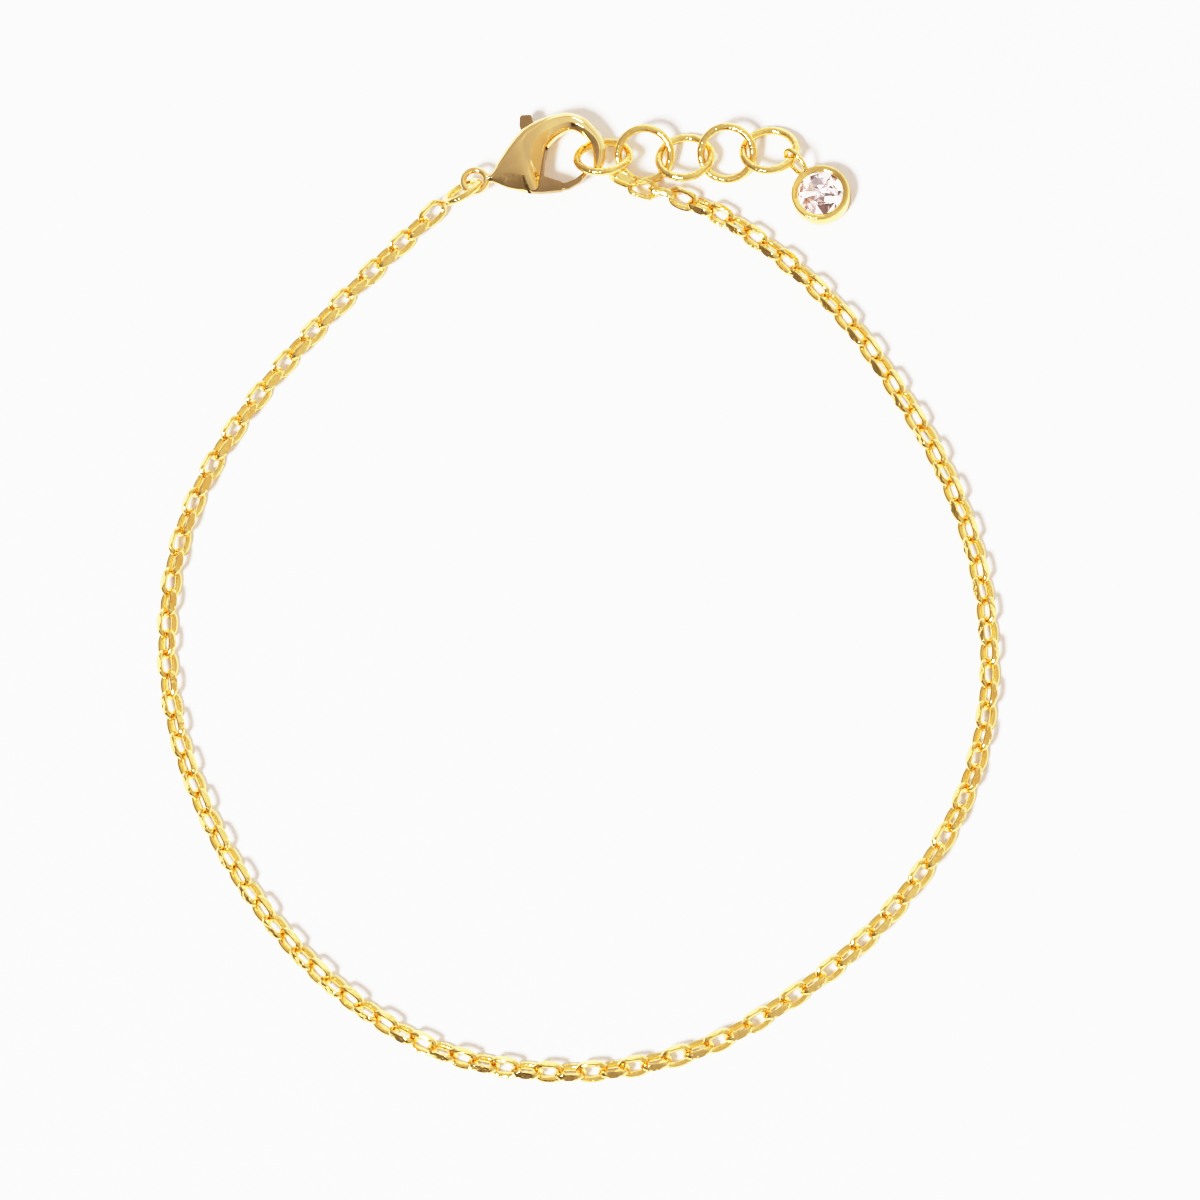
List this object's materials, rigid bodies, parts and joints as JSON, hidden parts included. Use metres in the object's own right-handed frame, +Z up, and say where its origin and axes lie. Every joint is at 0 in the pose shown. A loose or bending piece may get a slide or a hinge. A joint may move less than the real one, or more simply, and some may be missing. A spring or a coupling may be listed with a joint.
{
  "type": "cable chain bracelet with stone charm",
  "caption": "Fine oval-link cable chain bracelet, gold plated, with a lobster claw clasp, a ring extender and a round bezel-set clear stone charm, fastened and lying flat.",
  "frame": {"origin": "middle of the bracelet's box, on the surface it lies on", "axes": "+Z up from that surface, +Y across the loop towards the clasp and extender, +X from the clasp's tail towards the charm"},
  "size_m": [0.0592, 0.0706, 0.0028],
  "materials": {
    "gold_chain": "yellow gold plated brass, diamond-cut facets",
    "gold_clasp": "yellow gold plated cast brass, polished",
    "gold_wire": "yellow gold plated brass wire, polished",
    "clear_stone": "clear brilliant-cut stone, polished"
  },
  "bodies": {
    "bracelet": {"chain_left": "gold_chain", "chain_right": "gold_chain", "clasp_body": "gold_clasp", "clasp_jump_ring": "gold_wire", "extender_ring_1": "gold_wire", "extender_ring_2": "gold_wire", "extender_ring_3": "gold_wire", "extender_ring_4": "gold_wire", "extender_ring_5": "gold_wire", "charm_setting": "gold_wire", "charm_stone": "clear_stone"},
    "lever": {"clasp_lever": "gold_clasp"}
  },
  "joints": [
    {"name": "lever_hinge", "type": "hinge", "parent": "bracelet", "child": "lever", "pos_m": [-0.00279, 0.03216, 0.00129], "axis": [0, 0, 1], "range_deg": [0, 16], "stiffness_Nm_per_rad": 0.0001}
  ]
}
